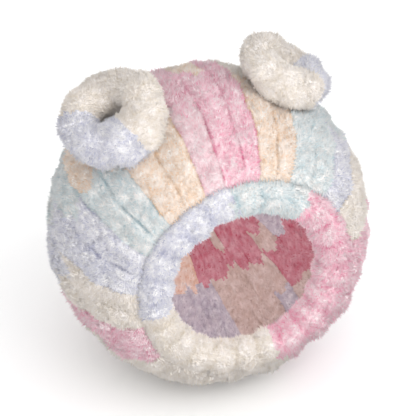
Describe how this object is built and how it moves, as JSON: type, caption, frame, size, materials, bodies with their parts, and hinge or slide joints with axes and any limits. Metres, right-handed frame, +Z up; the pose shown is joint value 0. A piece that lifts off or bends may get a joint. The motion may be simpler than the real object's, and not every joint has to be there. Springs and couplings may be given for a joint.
{
  "type": "bird snuggle hut",
  "caption": "Hollow ball of thick knitted chenille yarn with a round doorway, a rolled rim sewn round it and ear loops on top, for a small bird to sleep in.",
  "frame": {"origin": "centre of the flat underside, on the floor", "axes": "+Z up, the doorway faces -Y, +X to the right of someone who looks into the doorway"},
  "size_m": [0.1878, 0.1583, 0.2022],
  "materials": {
    "body_yarn": "deep chenille pile in pastel blocks",
    "rim_yarn": "deep chenille pile in pastel blocks",
    "left_ear_yarn": "deep chenille pile, cream and pale lavender",
    "right_ear_yarn": "deep chenille pile, cream and pale lavender"
  },
  "bodies": {
    "root": {"ribbed_body": "body_yarn", "doorway_rim": "rim_yarn", "left_ear_loop": "left_ear_yarn", "right_ear_loop": "right_ear_yarn"}
  },
  "joints": []
}
